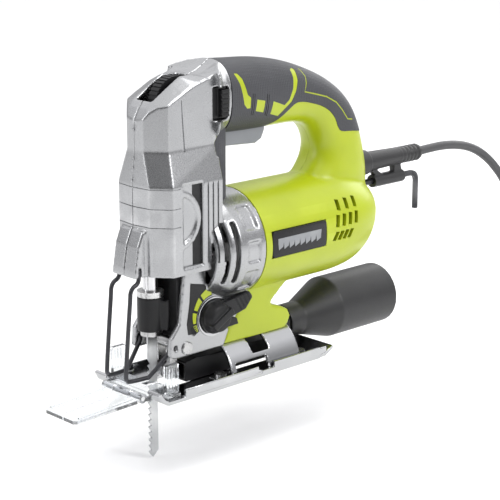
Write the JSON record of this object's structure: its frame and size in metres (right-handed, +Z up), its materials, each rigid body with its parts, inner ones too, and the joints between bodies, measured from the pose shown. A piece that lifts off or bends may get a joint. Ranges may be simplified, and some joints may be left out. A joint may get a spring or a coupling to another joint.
{
  "type": "jigsaw",
  "caption": "Corded jigsaw with a D handle, tilting steel shoe, orbital blade roller, quick blade clamp, clear guard insert and line guide, and a rear dust adapter.",
  "frame": {"origin": "centre of the flat face of the sole, on the sole plane", "axes": "+X towards the blade and the cutting direction, +Y the user's left, +Z up out of the work"},
  "size_m": [0.5724, 0.1116, 0.2573],
  "materials": {
    "cast_silver": "metallic silver paint on a die casting, satin",
    "lime_plastic": "lime green moulded plastic, semi-gloss",
    "grip_rubber": "soft grip, fine texture, matt",
    "black_plastic": "black moulded plastic, fine grain",
    "grey_plastic": "mid-grey moulded plastic, satin",
    "badge": "blank dark plate, satin gloss",
    "clear_plastic": "clear polycarbonate",
    "chromed_steel": "bright plated pressed steel",
    "zinc_steel": "zinc plated steel",
    "dark_steel": "blackened steel, satin",
    "ground_steel": "ground and hardened steel",
    "blade_steel": "bright blade steel",
    "bronze": "sintered bronze",
    "copper": "copper bars",
    "iron_laminate": "laminated electrical steel with enamelled windings",
    "carbon": "pressed carbon",
    "brass_part": "pressed brass",
    "circuit": "green circuit board",
    "cast_alloy": "raw die cast aluminium",
    "cord_rubber": "grey-black rubber lead"
  },
  "bodies": {
    "housing": {"gear_cover_left": "cast_silver", "gear_cover_right": "cast_silver", "housing_left": "lime_plastic", "housing_right": "lime_plastic", "grip_left": "grip_rubber", "grip_right": "grip_rubber", "badge_plate": "badge", "chamber_liner": "black_plastic", "bearing_bracket": "cast_alloy", "gear_axle": "ground_steel", "field_stator": "iron_laminate", "front_bearing": "ground_steel", "rear_bearing": "ground_steel", "brush_holders": "brass_part", "carbon_brushes": "carbon", "trigger_switch": "black_plastic", "speed_board": "circuit", "dial_axle": "ground_steel", "upper_bush": "bronze", "lower_bush": "bronze", "fork_pin": "ground_steel", "guard_wire": "dark_steel", "shoe_clamp_screw": "dark_steel", "housing_screws": "dark_steel", "cover_screws": "dark_steel", "strain_relief": "black_plastic", "cord_lead": "cord_rubber", "cord_coil": "cord_rubber", "cord_tail": "cord_rubber", "plug": "black_plastic"},
    "armature": {"armature_shaft": "ground_steel", "armature_core": "iron_laminate", "commutator": "copper", "cooling_fan": "black_plastic"},
    "gear": {"drive_gear": "ground_steel", "crank_roller": "ground_steel"},
    "plunger": {"plunger": "ground_steel", "yoke": "zinc_steel", "clamp_hub": "zinc_steel", "blade": "blade_steel", "clamp_spring": "ground_steel"},
    "clamp_sleeve": {"clamp_sleeve": "black_plastic"},
    "fork": {"roller_fork": "zinc_steel", "roller_axle": "ground_steel"},
    "guide_roller": {"guide_roller": "ground_steel"},
    "orbit_knob": {"orbit_knob": "black_plastic"},
    "trigger": {"trigger": "grey_plastic"},
    "lock_button": {"lock_button": "black_plastic"},
    "speed_dial": {"speed_dial": "black_plastic"},
    "shoe": {"shoe_plate": "chromed_steel", "saddle_bracket": "chromed_steel", "saddle_screws": "zinc_steel", "clear_insert": "clear_plastic", "guide_pin": "ground_steel", "dust_duct": "black_plastic"},
    "line_guide": {"line_guide": "clear_plastic"},
    "dust_adapter": {"dust_adapter": "black_plastic"},
    "hex_key": {"hex_key": "dark_steel"}
  },
  "joints": [
    {"name": "armature_spin", "type": "hinge", "parent": "housing", "child": "armature", "pos_m": [0, 0, 0.087], "axis": [1, 0, 0], "continuous": true},
    {"name": "gear_spin", "type": "hinge", "parent": "housing", "child": "gear", "pos_m": [0.019, 0, 0.112], "axis": [1, 0, 0], "continuous": true},
    {"name": "blade_stroke", "type": "slide", "parent": "housing", "child": "plunger", "axis": [0, 0, 1], "range_m": [-0.02, 0]},
    {"name": "clamp_release", "type": "hinge", "parent": "plunger", "child": "clamp_sleeve", "pos_m": [0.054, 0, 0.051], "axis": [0, 0, -1], "range_deg": [0, 50], "stiffness_Nm_per_rad": 0.12, "springref_deg": -17.19},
    {"name": "fork_swing", "type": "hinge", "parent": "housing", "child": "fork", "pos_m": [0.041, 0, 0.029], "axis": [0, 1, 0], "range_deg": [0, 4]},
    {"name": "roller_spin", "type": "hinge", "parent": "fork", "child": "guide_roller", "pos_m": [0.0453, 0, 0.0105], "axis": [0, 1, 0], "continuous": true},
    {"name": "orbit_select", "type": "hinge", "parent": "housing", "child": "orbit_knob", "pos_m": [0.0186, 0.02, 0.0456], "axis": [0, -1, 0], "range_deg": [0, 50]},
    {"name": "trigger_squeeze", "type": "hinge", "parent": "housing", "child": "trigger", "pos_m": [-0.001, 0, 0.161], "axis": [0, 1, 0], "range_deg": [0, 8], "stiffness_Nm_per_rad": 1.5, "springref_deg": -5.73},
    {"name": "lock_press", "type": "slide", "parent": "housing", "child": "lock_button", "axis": [0, -1, 0], "range_m": [0, 0.003], "stiffness_N_per_m": 400, "springref_m": -0.002},
    {"name": "speed_select", "type": "hinge", "parent": "housing", "child": "speed_dial", "pos_m": [0.034, 0, 0.184], "axis": [0, 1, 0], "range_deg": [0, 270]},
    {"name": "bevel_tilt", "type": "hinge", "parent": "housing", "child": "shoe", "pos_m": [0, 0, 0], "axis": [1, 0, 0], "range_deg": [-15, 15]},
    {"name": "line_guide_fold", "type": "hinge", "parent": "shoe", "child": "line_guide", "pos_m": [0.077, 0, 0.0036], "axis": [0, -1, 0], "range_deg": [0, 45]},
    {"name": "adapter_pull", "type": "slide", "parent": "shoe", "child": "dust_adapter", "axis": [-1, 0, 0], "range_m": [0, 0.03]},
    {"name": "key_pull", "type": "slide", "parent": "housing", "child": "hex_key", "axis": [-1, 0, 0], "range_m": [0, 0.07]}
  ],
  "couplings": [
    {"joint": "gear_spin", "follows": "armature_spin", "ratio": -0.25}
  ]
}
